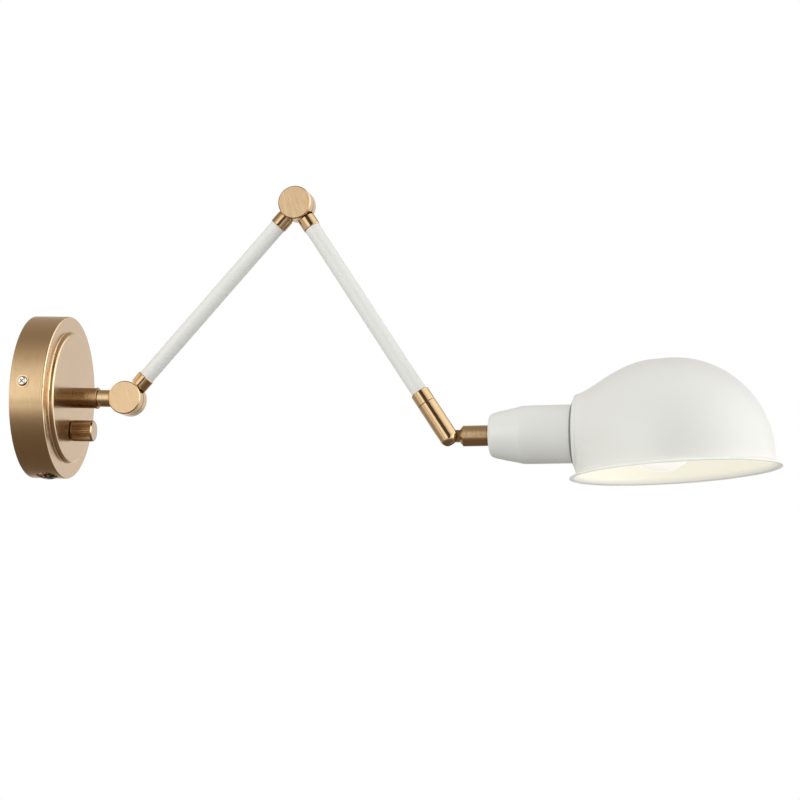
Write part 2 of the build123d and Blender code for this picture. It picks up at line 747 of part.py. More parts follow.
# Knuckle: round bar with a blunt rounded end, slotted across for the head's tongue.
slot_half = tongue_thickness / 2 + tongue_clearance
knuckle_start = lower_ferrule_end + swivel_gap
with BuildPart() as knuckle:
    with BuildSketch(cross_plane(elbow, outer_angle, knuckle_start)):
        Circle(knuckle_radius)
    extrude(amount=knuckle_tip - knuckle_start)
    tip_edge = knuckle.edges().filter_by(GeomType.CIRCLE).sort_by(Axis(elbow, direction(outer_angle)))[-1]
    fillet(tip_edge, knuckle_round)
    with BuildSketch(profile_plane(elbow, outer_angle)):
        with Locations((slot_root + knuckle_radius, 0)):
            Rectangle(2 * knuckle_radius, 4 * knuckle_radius)
    extrude(amount=slot_half, both=True, mode=Mode.SUBTRACT)
    with BuildSketch(cross_plane(elbow, outer_angle, knuckle_start)):
        Circle(post_radius + 0.02)
    extrude(amount=post_end - knuckle_start, mode=Mode.SUBTRACT)
    with BuildSketch(cross_plane(elbow, outer_angle, knuckle_start)):
        Circle(post_bore)
    extrude(amount=slot_root - knuckle_start + 1.0, mode=Mode.SUBTRACT)
    with BuildSketch(drum_plane(hinge, BACK, -knuckle_radius + 1.6)):
        Circle(pin_radius)
    extrude(amount=3 * knuckle_radius, mode=Mode.SUBTRACT)
    with BuildSketch(drum_plane(hinge, BACK, knuckle_radius - 2.2)):
        Circle(2.9)
    extrude(amount=3 * knuckle_radius, mode=Mode.SUBTRACT)
knuckle.part.label = "knuckle"
export_step(knuckle.part, "parts/knuckle.step")

# Tilt screw, sunk in the knuckle's back so that its front stays plain.
with BuildPart() as tilt_screw:
    with BuildSketch(drum_plane(hinge, BACK, knuckle_radius - 2.2)):
        Circle(2.8)
    extrude(amount=1.3)
    with BuildSketch(drum_plane(hinge, BACK, -knuckle_radius + 1.8)):
        Circle(pin_radius - 0.02)
    extrude(amount=2 * knuckle_radius - 4.0)
    with BuildSketch(drum_plane(hinge, BACK, knuckle_radius - 0.9)):
        Rectangle(6.0, 0.8)
    extrude(amount=-0.7, mode=Mode.SUBTRACT)
tilt_screw.part.label = "tilt_screw"
export_step(tilt_screw.part, "parts/tilt_screw.step")

# --- head -------------------------------------------------------------------------------
head_profile = profile_plane(hinge, head_angle)
head_axis = Axis(hinge, direction(head_angle))

# Tongue and head neck, turned and milled from one bar and drilled for the wires.
with BuildPart() as head_tongue:
    with BuildSketch(head_profile):
        with BuildLine():
            Polyline(
                (collar_start, 0),
                (collar_start, 5.6),
                (collar_end, head_neck_radius),
                (head_neck_end, head_neck_radius),
                (head_neck_end, 0),
                close=True,
            )
        make_face()
    revolve(axis=head_axis)
    with BuildSketch(head_profile):
        Circle(tongue_half_height)
        with Locations((collar_start / 2 + 0.5, 0)):
            Rectangle(collar_start + 1.0, 2 * tongue_half_height)
    extrude(amount=tongue_thickness / 2, both=True)
    with BuildSketch(head_profile):
        Circle(pin_radius + running_clearance)
    extrude(amount=tongue_thickness, both=True, mode=Mode.SUBTRACT)
    with BuildSketch(cross_plane(hinge, head_angle, -tongue_half_height)):
        with Locations((0, tongue_wire_offset)):
            Circle(tongue_wire_port)
    extrude(amount=2 * tongue_half_height + collar_end, mode=Mode.SUBTRACT)
    with BuildSketch(cross_plane(hinge, head_angle, collar_end + 3.0)):
        Circle(head_nipple_radius + running_clearance)
    extrude(amount=head_neck_end, mode=Mode.SUBTRACT)
head_tongue.part.label = "head_tongue"
export_step(head_tongue.part, "parts/head_tongue.step")

nipple_hole = head_nipple_radius + 0.15
neck_lock_ring = tube(hinge, head_angle, lock_ring_start, lock_ring_end, head_neck_radius, nipple_hole)
neck_lock_ring.part.label = "neck_lock_ring"
export_step(neck_lock_ring.part, "parts/neck_lock_ring.step")

# Hollow threaded tube that ties the neck, the lock ring, the cup and the lampholder together.
head_nipple = tube(
    hinge, head_angle, collar_end + 6.0, head_nipple_end, head_nipple_radius, head_nipple_bore
)
head_nipple.part.label = "head_nipple"
export_step(head_nipple.part, "parts/head_nipple.step")

with BuildPart() as cup_nut:
    with BuildSketch(cross_plane(hinge, head_angle, cup_start + cup_wall)):
        RegularPolygon(8.2, 6)
        Circle(head_nipple_radius + running_clearance, mode=Mode.SUBTRACT)
    extrude(amount=3.0)
cup_nut.part.label = "cup_nut"
export_step(cup_nut.part, "parts/cup_nut.step")


def cup_outline(inset):
    """Draw the cup's half profile, brought in by inset for the hollow."""
    start = cup_start + inset
    Line((start, 0), (start, 12.0 - inset))
    Spline(
        (start, 12.0 - inset),
        (cup_start + 4.0, 16.1 - inset),
        (cup_start + 20.0, 19.6 - inset),
        (cup_body_start, cup_radius - inset),
        tangents=((0, 1), (1, 0)),
    )
    Line((cup_body_start, cup_radius - inset), (cup_end, cup_radius - inset))
    Line((cup_end, cup_radius - inset), (cup_end, 0))
    Line((cup_end, 0), (start, 0))


# Socket cup: an egg-ended cup, open towards the shade.
with BuildPart() as socket_cup:
    for inset in (0, cup_wall):
        with BuildSketch(head_profile):
            with BuildLine():
                cup_outline(inset)
            make_face()
        revolve(axis=head_axis, mode=Mode.SUBTRACT if inset else Mode.ADD)
    with BuildSketch(cross_plane(hinge, head_angle, cup_start - 1.0)):
        Circle(nipple_hole)
    extrude(amount=cup_wall + 3.0, mode=Mode.SUBTRACT)
socket_cup.part.label = "socket_cup"
export_step(socket_cup.part, "parts/socket_cup.step")

# Narrow ring in the seam between the cup and the shade.
seam_ring = turned(
    hinge,
    head_angle,
    (
        (cup_end + 0.1, holder_radius + 0.1),
        (seam_ring_end, holder_radius + 0.1),
        (seam_ring_end, seam_ring_radius),
        (cup_end + 1.0, seam_ring_radius),
        (cup_end + 1.0, cup_radius + 0.2),
        (cup_end + 0.1, cup_radius + 0.2),
    ),
)
seam_ring.part.label = "seam_ring"
export_step(seam_ring.part, "parts/seam_ring.step")

contact_radius = 4.9
# Lampholder with its screwed skirt, which carries the ring that clamps the shade.
lampholder = turned(
    hinge,
    head_angle,
    (
        (holder_back, head_nipple_radius + running_clearance),
        (holder_back, holder_back_radius),
        (holder_floor - 6.0, holder_back_radius),
        (holder_floor - 4.0, holder_radius - 0.9),
        (cup_end - 6.0, holder_radius - 0.9),
        (cup_end - 5.0, holder_radius),
        (holder_mouth, holder_radius),
        (holder_mouth, cap_radius + shell_wall + 0.1),
        (holder_floor, cap_radius + shell_wall + 0.1),
        (holder_floor, contact_radius + 0.1),
        (head_nipple_end + 1.0, contact_radius + 0.1),
        (head_nipple_end + 1.0, head_nipple_radius + running_clearance),
    ),
)
lampholder.part.label = "lampholder"
export_step(lampholder.part, "parts/lampholder.step")

lampholder_shell = tube(
    hinge,
    head_angle,
    holder_floor + 1.5,
    holder_mouth - 4.0,
    cap_radius + shell_wall,
    cap_radius + running_clearance,
)
lampholder_shell.part.label = "lampholder_shell"
export_step(lampholder_shell.part, "parts/lampholder_shell.step")

with BuildPart() as centre_contact:
    with BuildSketch(cross_plane(hinge, head_angle, holder_floor - 2.0)):
        Circle(contact_radius)
    extrude(amount=2.6)
    with BuildSketch(cross_plane(hinge, head_angle, holder_floor + 0.6)):
        Rectangle(4.0, 9.0)
    extrude(amount=1.4)
centre_contact.part.label = "centre_contact"
export_step(centre_contact.part, "parts/centre_contact.step")

shade_clamp_ring = turned(
    hinge,
    head_angle,
    (
        (shade_face + shade_wall + 0.2, holder_radius + 0.05),
        (shade_face + 7.2, holder_radius + 0.05),
        (shade_face + 7.2, 21.6),
        (shade_face + 3.2, 21.6),
        (shade_face + 3.2, 23.8),
        (shade_face + shade_wall + 0.2, 23.8),
    ),
)
shade_clamp_ring.part.label = "shade_clamp_ring"
export_step(shade_clamp_ring.part, "parts/shade_clamp_ring.step")

head_wires = wire_pair(
    Plane(origin=hinge, x_dir=direction(head_angle), z_dir=(0, -1, 0)),
    (-3.0, tongue_wire_offset),
    (holder_floor - 3.0, wire_offset - 0.3),
)
head_wires.part.label = "head_wires"
export_step(head_wires.part, "parts/head_wires.step")

# --- bulb -------------------------------------------------------------------------------
bulb_cap = turned(
    hinge,
    head_angle,
    (
        (cap_back - 1.4, 0),
        (cap_back - 1.4, 3.5),
        (cap_back, 5.5),
        (cap_back + 2.0, cap_radius - 1.5),
        (cap_back + 3.0, cap_radius),
        (cap_back + cap_length, cap_radius),
        (cap_back + cap_length, cap_radius - cap_wall),
        (cap_back + 3.5, cap_radius - cap_wall),
        (cap_back + 1.5, cap_radius - 3.0),
        (cap_back + 1.5, 0),
    ),
)
bulb_cap.part.label = "bulb_cap"
export_step(bulb_cap.part, "parts/bulb_cap.step")


def bulb_outline(inset):
    """Draw the glass's half profile: a straight neck that runs smoothly into a round globe."""
    neck = bulb_neck - inset
    globe = bulb_radius - inset
    join_angle = 128.0
    join = (bulb_centre + globe * cos(radians(join_angle)), globe * sin(radians(join_angle)))
    join_tangent = (sin(radians(join_angle)), -cos(radians(join_angle)))
    glass_start = cap_back + cap_length + 0.1 + inset
    Line((glass_start, 0), (glass_start, neck))
    Line((glass_start, neck), (holder_mouth, neck))
    Spline((holder_mouth, neck), join, tangents=((1, 0), join_tangent))
    CenterArc((bulb_centre, 0), globe, 0, join_angle)
    Line((bulb_centre + globe, 0), (glass_start, 0))


with BuildPart() as bulb_glass:
    for inset in (0, bulb_wall):
        with BuildSketch(head_profile):
            with BuildLine():
                bulb_outline(inset)
            make_face()
        revolve(axis=head_axis, mode=Mode.SUBTRACT if inset else Mode.ADD)
bulb_glass.part.label = "bulb_glass"
export_step(bulb_glass.part, "parts/bulb_glass.step")

# --- shade ------------------------------------------------------------------------------
# A round dome whose crest runs down into a round collar, with a flared, beaded rim. Its hood is
# lofted through round sections: each reaches the crest above and the dome's own width at one
# level, so that the hood comes off the dome without a step.
rim_point = head_profile.from_local_coords(Vector(rim_along, -rim_drop, 0))
rim_angle = head_angle + rim_tilt
rim_profile = profile_plane(rim_point, rim_angle)
rim_axis = Axis(rim_point, direction(rim_angle + 90))
flare_plane = Plane(origin=rim_profile.from_local_coords(Vector(0, flare_height, 0)), z_dir=rim_axis.direction)


def hood_section(share_along, share_up):
    """Place along the head, centre height and radius of one round section of the hood."""
    along = hood_start + share_along * (dome_along - hood_start)
    crest = collar_radius + share_up * (dome_level + dome_radius - collar_radius)
    dome_half_width = dome_radius**2 - (dome_along - along) ** 2 - (blend_level - dome_level) ** 2
    centre = (crest**2 - blend_level**2 - dome_half_width) / (2 * (crest - blend_level))
    return along, centre, crest - centre


def shade_form(inset):
    """Solid form of dome, hood and collar, brought in by inset for the hollow."""
    radius = dome_radius - inset
    collar_face = shade_face + inset
    with BuildPart() as form:
        with BuildSketch(cross_plane(hinge, head_angle, hood_start)):
            Circle(collar_radius - inset)
        for share_along, share_up in hood_crest:
            along, centre, section_radius = hood_section(share_along, share_up)
            with BuildSketch(cross_plane(hinge, head_angle, along)):
                with Locations((0, centre)):
                    Circle(section_radius - inset)
        with BuildSketch(cross_plane(hinge, head_angle, hood_end)):
            with Locations((0, dome_level - 0.2)):
                Circle(dome_radius - 0.6 - inset)
        loft()
        with BuildSketch(cross_plane(hinge, head_angle, collar_face)):
            Circle(collar_radius - inset)
        extrude(amount=hood_start - collar_face)
        collar_edge = form.edges().filter_by(GeomType.CIRCLE).sort_by(head_axis)[0]
        fillet(collar_edge, collar_round - inset)
        split(bisect_by=flare_plane, keep=Keep.TOP)
        with BuildSketch(rim_profile):
            with BuildLine():
                Line((0, flare_height), (radius, flare_height))
                Line((radius, flare_height), (radius, dome_centre_height))
                CenterArc((0, dome_centre_height), radius, 0, 90)
                Line((0, dome_centre_height + radius), (0, flare_height))
            make_face()
        revolve(axis=rim_axis)
    return form.part


shade_outside = shade_form(0)
shade_inside = shade_form(shade_wall)
with BuildPart() as shade:
    add(shade_outside)
    add(shade_inside, mode=Mode.SUBTRACT)
    flare_outer = dome_radius + flare
    flare_inner = flare + shade_wall
    with BuildSketch(rim_profile):
        with BuildLine():
            Line((dome_radius - shade_wall, flare_height), (dome_radius, flare_height))
            CenterArc((flare_outer, flare_height), flare, 180, 90)
            Line((flare_outer, flare_height - flare), (flare_outer, flare_height - flare_inner))
            CenterArc((flare_outer, flare_height), flare_inner, 180, 90)
        make_face()
    revolve(axis=rim_axis)
    with BuildSketch(rim_profile):
        with Locations((rim_radius - bead_radius, bead_radius)):
            Circle(bead_radius)
    revolve(axis=rim_axis)
    with BuildSketch(cross_plane(hinge, head_angle, cup_end)):
        Circle(holder_radius + 0.3)
    extrude(amount=8.0, mode=Mode.SUBTRACT)
shade.part.label = "shade"
export_step(shade.part, "parts/shade.step")
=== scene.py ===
import json
from math import cos, radians, sin

import bpy
from mathutils import Matrix, Vector

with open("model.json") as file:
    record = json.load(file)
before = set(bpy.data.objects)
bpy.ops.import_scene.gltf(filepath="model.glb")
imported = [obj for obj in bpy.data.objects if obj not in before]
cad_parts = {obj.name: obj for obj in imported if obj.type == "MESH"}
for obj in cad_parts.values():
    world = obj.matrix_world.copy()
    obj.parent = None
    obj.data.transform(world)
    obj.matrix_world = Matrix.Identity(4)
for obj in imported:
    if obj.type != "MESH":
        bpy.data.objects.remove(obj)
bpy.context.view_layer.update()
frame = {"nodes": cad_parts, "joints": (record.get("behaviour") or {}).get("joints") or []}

# Accordion wall lamp. The wall is the plane x = 0 and the arms fold in the plane y = 0. The scene
# is in metres; finishes read their place on a piece in millimetres, in the lamp's own frame.
MM = 1000

NODES = frame["nodes"]
JOINTS = {joint["name"]: joint for joint in frame["joints"]}
STEM = Vector((0, 0, 0))
SHOULDER = Vector(JOINTS["shoulder_fold"]["pos_m"])
ELBOW = Vector(JOINTS["elbow_fold"]["pos_m"])
HINGE = Vector(JOINTS["head_tilt"]["pos_m"])
KNOB = Vector(JOINTS["dimmer_turn"]["pos_m"])

OUT = Vector((1, 0, 0))
ACROSS = Vector((0, 1, 0))
INNER_ARM = (ELBOW - SHOULDER).normalized()
OUTER_ARM = Vector(JOINTS["head_swivel"]["axis"]).normalized()
HEAD_ANGLE = radians(2.31)
HEAD = Vector((cos(HEAD_ANGLE), 0, sin(HEAD_ANGLE)))
RIM_ANGLE = radians(5.55)
SHADE_DOWN = Vector((sin(RIM_ANGLE), 0, -cos(RIM_ANGLE)))
CAP_GRAIN_ANGLE = radians(108)
CAP_GRAIN = Vector((cos(CAP_GRAIN_ANGLE), 0, sin(CAP_GRAIN_ANGLE)))

# In millimetres: the middle of the dome, the axis of the cover screws and the top of their heads.
DOME_CENTRE = (474.0, 0.0, -13.0)
SCREW_X, SCREW_Z = 9.9, 4.1
SCREW_TOP = 61.4


# --- shader maths -----------------------------------------------------------------------
class Value:
    """A number, colour or vector that runs through a material's nodes."""

    def __init__(self, tree, socket):
        self.tree = tree
        self.socket = socket

    def math(self, operation, *operands):
        settings = {"operation": operation}
        return build(self.tree, "ShaderNodeMath", settings, dict(enumerate(operands)))

    def __add__(self, other):
        return self.math("ADD", self, other)

    def __radd__(self, other):
        return self.math("ADD", other, self)

    def __sub__(self, other):
        return self.math("SUBTRACT", self, other)

    def __rsub__(self, other):
        return self.math("SUBTRACT", other, self)

    def __mul__(self, other):
        return self.math("MULTIPLY", self, other)

    def __rmul__(self, other):
        return self.math("MULTIPLY", other, self)

    def __abs__(self):
        return self.math("ABSOLUTE", self)

    def squared(self):
        return self * self

    def root(self):
        return self.math("POWER", self, 0.5)

    def or_more(self, other):
        return self.math("MAXIMUM", self, other)

    def step(self, low, high):
        """0 below low, 1 above high, and a smooth rise between them."""
        settings = {"interpolation_type": "SMOOTHSTEP"}
        inputs = {"Value": self, "From Min": low, "From Max": high}
        return build(self.tree, "ShaderNodeMapRange", settings, inputs)

    def output(self, name):
        """Another output of the same node."""
        return Value(self.tree, self.socket.node.outputs[name])


def build(tree, kind, settings=None, inputs=None, output=0):
    """Add one node: its settings first, then the values or links of its sockets."""
    node = tree.nodes.new(kind)
    for name, setting in (settings or {}).items():
        if name == "stops":
            fill_ramp(node.color_ramp, setting)
        else:
            setattr(node, name, setting)
    for name, given in (inputs or {}).items():
        socket = node.inputs[name]
        if isinstance(given, Value):
            tree.links.new(given.socket, socket)
        else:
            socket.default_value = given
    return Value(tree, node.outputs[output])


def fill_ramp(ramp, stops):
    while len(ramp.elements) > 1:
        ramp.elements.remove(ramp.elements[-1])
    for index, (place, colour) in enumerate(stops):
        element = ramp.elements[0] if index == 0 else ramp.elements.new(place)
        element.position = place
        element.color = (*colour, 1)


def vector_math(operation, first, second=None):
    inputs = {0: first} if second is None else {0: first, 1: second}
    output = "Value" if operation in ("LENGTH", "DOT_PRODUCT") else "Vector"
    return build(first.tree, "ShaderNodeVectorMath", {"operation": operation}, inputs, output)


def scaled(vector, amount):
    inputs = {0: vector, "Scale": amount}
    return build(vector.tree, "ShaderNodeVectorMath", {"operation": "SCALE"}, inputs)


def vector_of(tree, parts):
    return build(tree, "ShaderNodeCombineXYZ", None, dict(enumerate(parts)))


MIX_FACTOR, MIX_COLOUR_A, MIX_COLOUR_B, MIX_COLOUR_OUT = 0, 6, 7, 2


def blend(amount, low, high):
    """Colour that runs from low to high as amount runs from 0 to 1."""
    low, high = (c if isinstance(c, Value) else (*c, 1) for c in (low, high))
    inputs = {MIX_FACTOR: amount, MIX_COLOUR_A: low, MIX_COLOUR_B: high}
    return build(amount.tree, "ShaderNodeMix", {"data_type": "RGBA"}, inputs, MIX_COLOUR_OUT)


def position(tree):
    """Place on the piece in the lamp's own frame, in millimetres."""
    return scaled(build(tree, "ShaderNodeTexCoord", output="Object"), MM)


def turned_into(normal, start, end):
    """The same normal, read in another frame: the world's, or the piece's own."""
    settings = {"vector_type": "NORMAL", "convert_from": start, "convert_to": end}
    return build(normal.tree, "ShaderNodeVectorTransform", settings, {"Vector": normal})


def surface_normal(tree, output="Normal"):
    """Surface normal in the piece's own frame, so that a finish turns with its piece."""
    face = build(tree, "ShaderNodeNewGeometry", output=output)
    return turned_into(face, "WORLD", "OBJECT")


def noise(place, scale, detail=2.0, roughness=0.5):
    inputs = {"Vector": place, "Scale": scale, "Detail": detail, "Roughness": roughness}
    return build(place.tree, "ShaderNodeTexNoise", {"noise_dimensions": "3D"}, inputs)


def bump(height, distance, strength=1.0):
    inputs = {"Height": height, "Distance": distance, "Strength": strength}
    return build(height.tree, "ShaderNodeBump", None, inputs)


def material(name, **constants):
    """New material with a Principled surface; constants go on the shader's own sockets."""
    made = bpy.data.materials.new(name)
    made.use_nodes = True
    for socket, value in constants.items():
        surface_of(made).inputs[socket.replace("_", " ")].default_value = value
    return made, made.node_tree


def surface_of(made):
    return made.node_tree.nodes["Principled BSDF"]


def fed(made, socket):
    """What already feeds one socket of a material's surface."""
    return Value(made.node_tree, surface_of(made).inputs[socket].links[0].from_socket)


def feed(made, **links):
    """Link what changes over the surface into the Principled shader."""
    for socket, value in links.items():
        made.node_tree.links.new(value.socket, surface_of(made).inputs[socket.replace("_", " ")])
    return made


# --- finishes ---------------------------------------------------------------------------
# Each brass has a pale tone and a deep one, which its brush lines and clouds run between.
BRASS = (0.80, 0.575, 0.335), (0.62, 0.425, 0.225)
DARK_BRASS = (0.52, 0.33, 0.165), (0.34, 0.205, 0.095)
CAP_BRASS = (0.84, 0.60, 0.355), (0.74, 0.52, 0.295)
CONTACT_BRASS = (0.80, 0.70, 0.48), (0.70, 0.60, 0.38)
# Pale brass and a near-black tone, between which the buffed plug's painted reflections run.
BRASS_AND_PAINTED_REFLECTIONS = (0.95, 0.72, 0.42), (0.09, 0.05, 0.02)
COVER_FACE = (0.74, 0.56, 0.38)
KNOB_FACE = (0.66, 0.53, 0.39)
# Brighter brass for bevel edges: a painted highlight.
EDGE_PAINTED_HIGHLIGHT = (0.93, 0.70, 0.43)
FLANGE_BRASS = (0.90, 0.70, 0.42)
# Near-black brass for the tongue: painted shade where it sits in the knuckle's slot.
TONGUE_PAINTED_SHADE = (0.17, 0.105, 0.055)
SCREW_BRIGHT = (0.98, 0.95, 0.86), (0.90, 0.86, 0.76)
# Dark brown for painted shade in the screws' cross recess and round their heads.
SCREW_PAINTED_SHADE = (0.30, 0.17, 0.05)
ZINC = (0.62, 0.62, 0.59), (0.44, 0.45, 0.44)
ARM_WHITE = (0.81, 0.81, 0.765), (0.785, 0.785, 0.74)
SHADE_WHITE = (0.815, 0.815, 0.77), (0.79, 0.79, 0.745)
INSIDE_WHITE = (0.90, 0.87, 0.79), (0.88, 0.85, 0.765)
# Dark grey for the seam ring: painted shadow in the gap between the cup and the shade.
SEAM_PAINTED_SHADOW = (0.26, 0.29, 0.29), (0.23, 0.26, 0.26)
POWDERED_GLASS = (0.45, 0.45, 0.42), (0.42, 0.42, 0.39)
NYLON_BLACK = (0.03, 0.027, 0.024)
MOULDED_WHITE = (0.80, 0.79, 0.75)
MOULDED_BLACK = (0.02, 0.02, 0.02)
EARTH_GREEN = (0.05, 0.30, 0.11)
WIRE_WHITE = (0.72, 0.71, 0.66)
NO_GLOW = (0.0, 0.0, 0.0)
# Faint glow on the shade's inside and on its rim's bead: painted light.
INSIDE_PAINTED_LIGHT = (0.245, 0.245, 0.215)
BULB_GLOW = (0.80, 0.785, 0.72)


def round_an_axis(tree, centre, axis):
    """Place on a turned piece: distance along its axis, distance out, and the way round it."""
    place = vector_math("SUBTRACT", position(tree), tuple(c * MM for c in centre))
    along = vector_math("DOT_PRODUCT", place, tuple(axis))
    outward = vector_math("SUBTRACT", place, scaled(vector_of(tree, axis), along))
    around = vector_math("NORMALIZE", vector_math("CROSS_PRODUCT", outward, tuple(axis)))
    return place, along, vector_math("LENGTH", outward), around


def brushed(tree, lines, around, lean):
    """Surface normal tipped to and fro across fine brush lines that run along around."""
    face = surface_normal(tree)
    across = vector_math("CROSS_PRODUCT", around, face)
    tipped = vector_math("ADD", face, scaled(across, (lines - 0.5) * lean))
    return turned_into(vector_math("NORMALIZE", tipped), "OBJECT", "WORLD")


def brass(name, lines_of, lean, roughness, tones):
    """Satin brass under lacquer.

    lines_of gives its place, brush lines and their direction; lean is how far the lines tip the
    surface, as a number or as a function of the node tree.
    """
    made, tree = material(name, Metallic=1.0, Coat_Weight=0.06, Coat_Roughness=0.15)
    place, lines, around = lines_of(tree)
    cloud = noise(place, 0.05, 2.0)
    return feed(
        made,
        Base_Color=blend((lines - 0.5) * 0.3 + (cloud - 0.5) * 0.4 + 0.3, *tones),
        Roughness=roughness + (cloud - 0.5) * 0.06 + (lines - 0.5) * 0.10,
        Normal=brushed(tree, lines, around, lean(tree) if callable(lean) else lean),
    )


def spun_brass(name, centre, axis, lean, roughness, tones=BRASS):
    """Brass brushed on the lathe, so its lines run round the axis."""

    def lathe_lines(tree):
        place, along, radius, around = round_an_axis(tree, centre, axis)
        groove = vector_of(tree, (along, radius, 0.0))
        drift = scaled(place, 0.01)
        return place, noise(vector_math("ADD", groove, drift), 8.0, 3.0, 0.75), around

    return brass(name, lathe_lines, lean, roughness, tones)


def straight_brass(name, along, lean, roughness, tones):
    """Brass brushed on a belt, so its lines run one way: along."""

    def belt_lines(tree):
        place = position(tree)
        offset = vector_math("DOT_PRODUCT", place, tuple(along.cross(ACROSS)))
        strokes = vector_math("ADD", vector_of(tree, (offset, 0.0, 0.0)), scaled(place, 0.04))
        lines = noise(strokes, 5.0, 3.0, 0.75) * 0.6 + noise(strokes, 1.5, 2.0, 0.6) * 0.4
        return place, lines, vector_of(tree, along)

    return brass(name, belt_lines, lean, roughness, tones)


def neck_brass():
    """Turned neck of the head; its tongue, behind the collar, is darkened as painted shade from the
    knuckle's slot.
    """
    made = spun_brass("neck_brass", HINGE, HEAD, 0.2, 0.2)
    tree = made.node_tree
    place = vector_math("SUBTRACT", position(tree), tuple(HINGE * MM))
    # Painted shade: the tongue behind the collar is darkened.
    tongue_shade = 1 - vector_math("DOT_PRODUCT", place, tuple(HEAD)).step(8.4, 9.2)
    return feed(made, Base_Color=blend(tongue_shade, fed(made, "Base Color"), TONGUE_PAINTED_SHADE))


def cover_lean(tree):
    """Spread of the brush marks, wider on the cover's face than on its side."""
    face = surface_normal(tree, "True Normal")
    return vector_math("DOT_PRODUCT", face, tuple(OUT)).step(0.9, 0.99) * 0.2 + 0.6


def end_faced(made, axis, face_tone):
    """Leave the turned side as it is, tone the flat end faces, and polish the edge and paint a
    highlight on it.
    """
    square = vector_math("DOT_PRODUCT", surface_normal(made.node_tree, "True Normal"), tuple(axis))
    tone = blend(square.step(0.80, 0.98), fed(made, "Base Color"), face_tone)
    flat = square.step(0.88, 0.99)
    edge = square.step(0.04, 0.30) * (1 - flat)
    return feed(
        made,
        # The edge's colour is brightened: a painted highlight along the bevel.
        Base_Color=blend(edge * 0.7, tone, EDGE_PAINTED_HIGHLIGHT),
        Roughness=fed(made, "Roughness") - edge * 0.10 - flat * 0.06,
    )


def polished_brass():
    """Buffed brass, a little wavy from hand buffing, with painted bright and dark reflections in
    patches.
    """
    made, tree = material("polished_brass", Metallic=1.0, Coat_Weight=0.3, Coat_Roughness=0.04)
    place = position(tree)
    waves_and_reflection_patches = noise(place, 0.25, 1.0, 0.4)
    scuffs = noise(place, 6.0, 4.0, 0.7)
    return feed(
        made,
        # Colour runs between pale brass and near black in patches: painted reflections.
        Base_Color=blend(waves_and_reflection_patches.step(0.36, 0.46), *BRASS_AND_PAINTED_REFLECTIONS),
        Roughness=0.04 + scuffs * 0.06,
        Normal=bump(waves_and_reflection_patches + scuffs * 0.01, 0.003),
    )


def screw_plate():
    """Cover screws: a bright plated head on a brass flange, with painted shade in the cross and
    round it.
    """
    made, tree = material("screw_plate", Metallic=1.0, Coat_Weight=0.3, Coat_Roughness=0.05)
    place = position(tree)
    x = build(tree, "ShaderNodeSeparateXYZ", None, {"Vector": place})
    radius = ((x - SCREW_X).squared() + (x.output("Z") - SCREW_Z).squared()).root()
    depth = 1 - abs(x.output("Y")).step(SCREW_TOP - 0.5, SCREW_TOP - 0.1)
    # Painted shade: the cross recess and a ring round the head's foot are darkened.
    cross = (1 - radius.step(2.0, 2.3)) * depth
    foot = radius.step(3.2, 3.5) * (1 - radius.step(3.6, 4.0))
    scuffs = noise(place, 6.0, 3.0, 0.7)
    head = 1 - radius.step(2.9, 3.5)
    unshaded = blend(head, FLANGE_BRASS, blend(scuffs, *SCREW_BRIGHT))
    return feed(
        made,
        Base_Color=blend(foot.or_more(cross), unshaded, SCREW_PAINTED_SHADE),
        Roughness=0.10 + scuffs * 0.10,
        Normal=bump(scuffs, 0.00001, 0.3),
    )


def sprayed_film(place):
    """Sprayed enamel's grain, its slow cloud, the mottle of both, and its very shallow peel."""
    peel = noise(place, 0.35, 2.0, 0.4)
    grain = noise(place, 3.0, 2.0)
    cloud = noise(place, 0.02, 2.0)
    return grain, cloud, cloud * 0.8 + grain * 0.2, bump(peel * 0.9 + grain * 0.1, 0.00001, 0.25)


def enamel(name, tones):
    """Satin enamel, one even film."""
    made, tree = material(name, Coat_Weight=0.25, Coat_Roughness=0.28, IOR=1.5)
    grain, cloud, mottle, peel = sprayed_film(position(tree))
    return feed(
        made,
        Base_Color=blend(mottle, *tones),
        Roughness=0.40 + (grain - 0.5) * 0.08 + (cloud - 0.5) * 0.05,
        Normal=peel,
    )


def shade_enamel():
    """Enamel of the shade: off-white outside and a warmer coat inside, with painted light glowing
    inside and on the rim's bead.
    """
    made, tree = material(
        "shade_enamel", Coat_Weight=0.25, Coat_Roughness=0.28, IOR=1.5, Emission_Strength=1.0
    )
    place = position(tree)
    grain, _, mottle, peel = sprayed_film(place)
    outwards = vector_math("NORMALIZE", vector_math("SUBTRACT", place, DOME_CENTRE))
    facing_out = vector_math("DOT_PRODUCT", surface_normal(tree, "True Normal"), outwards)
    inside = (facing_out * -1.0).step(-0.05, 0.15)
    rim = max(SHADE_DOWN.dot(vertex.co) for vertex in NODES["shade"].data.vertices) * MM
    # Painted light: the inside and, more weakly, the rim's bead glow faintly.
    bead = vector_math("DOT_PRODUCT", place, tuple(SHADE_DOWN)).step(rim - 3.4, rim - 1.6)
    return feed(
        made,
        Base_Color=blend(inside, blend(mottle, *SHADE_WHITE), blend(mottle, *INSIDE_WHITE)),
        Emission_Color=blend(inside.or_more(bead * 0.55), NO_GLOW, INSIDE_PAINTED_LIGHT),
        Roughness=0.40 + (grain - 0.5) * 0.08,
        Normal=peel,
    )


def plated_steel():
    """Zinc plate with its faint spangle."""
    made, tree = material("plated_steel", Metallic=1.0)
    place = position(tree)
    grain = noise(place, 3.0, 3.0, 0.6)
    return feed(
        made,
        Base_Color=blend(noise(place, 0.25, 3.0), *ZINC),
        Roughness=0.30 + (grain - 0.5) * 0.2,
        Normal=bump(grain, 0.00002, 0.4),
    )


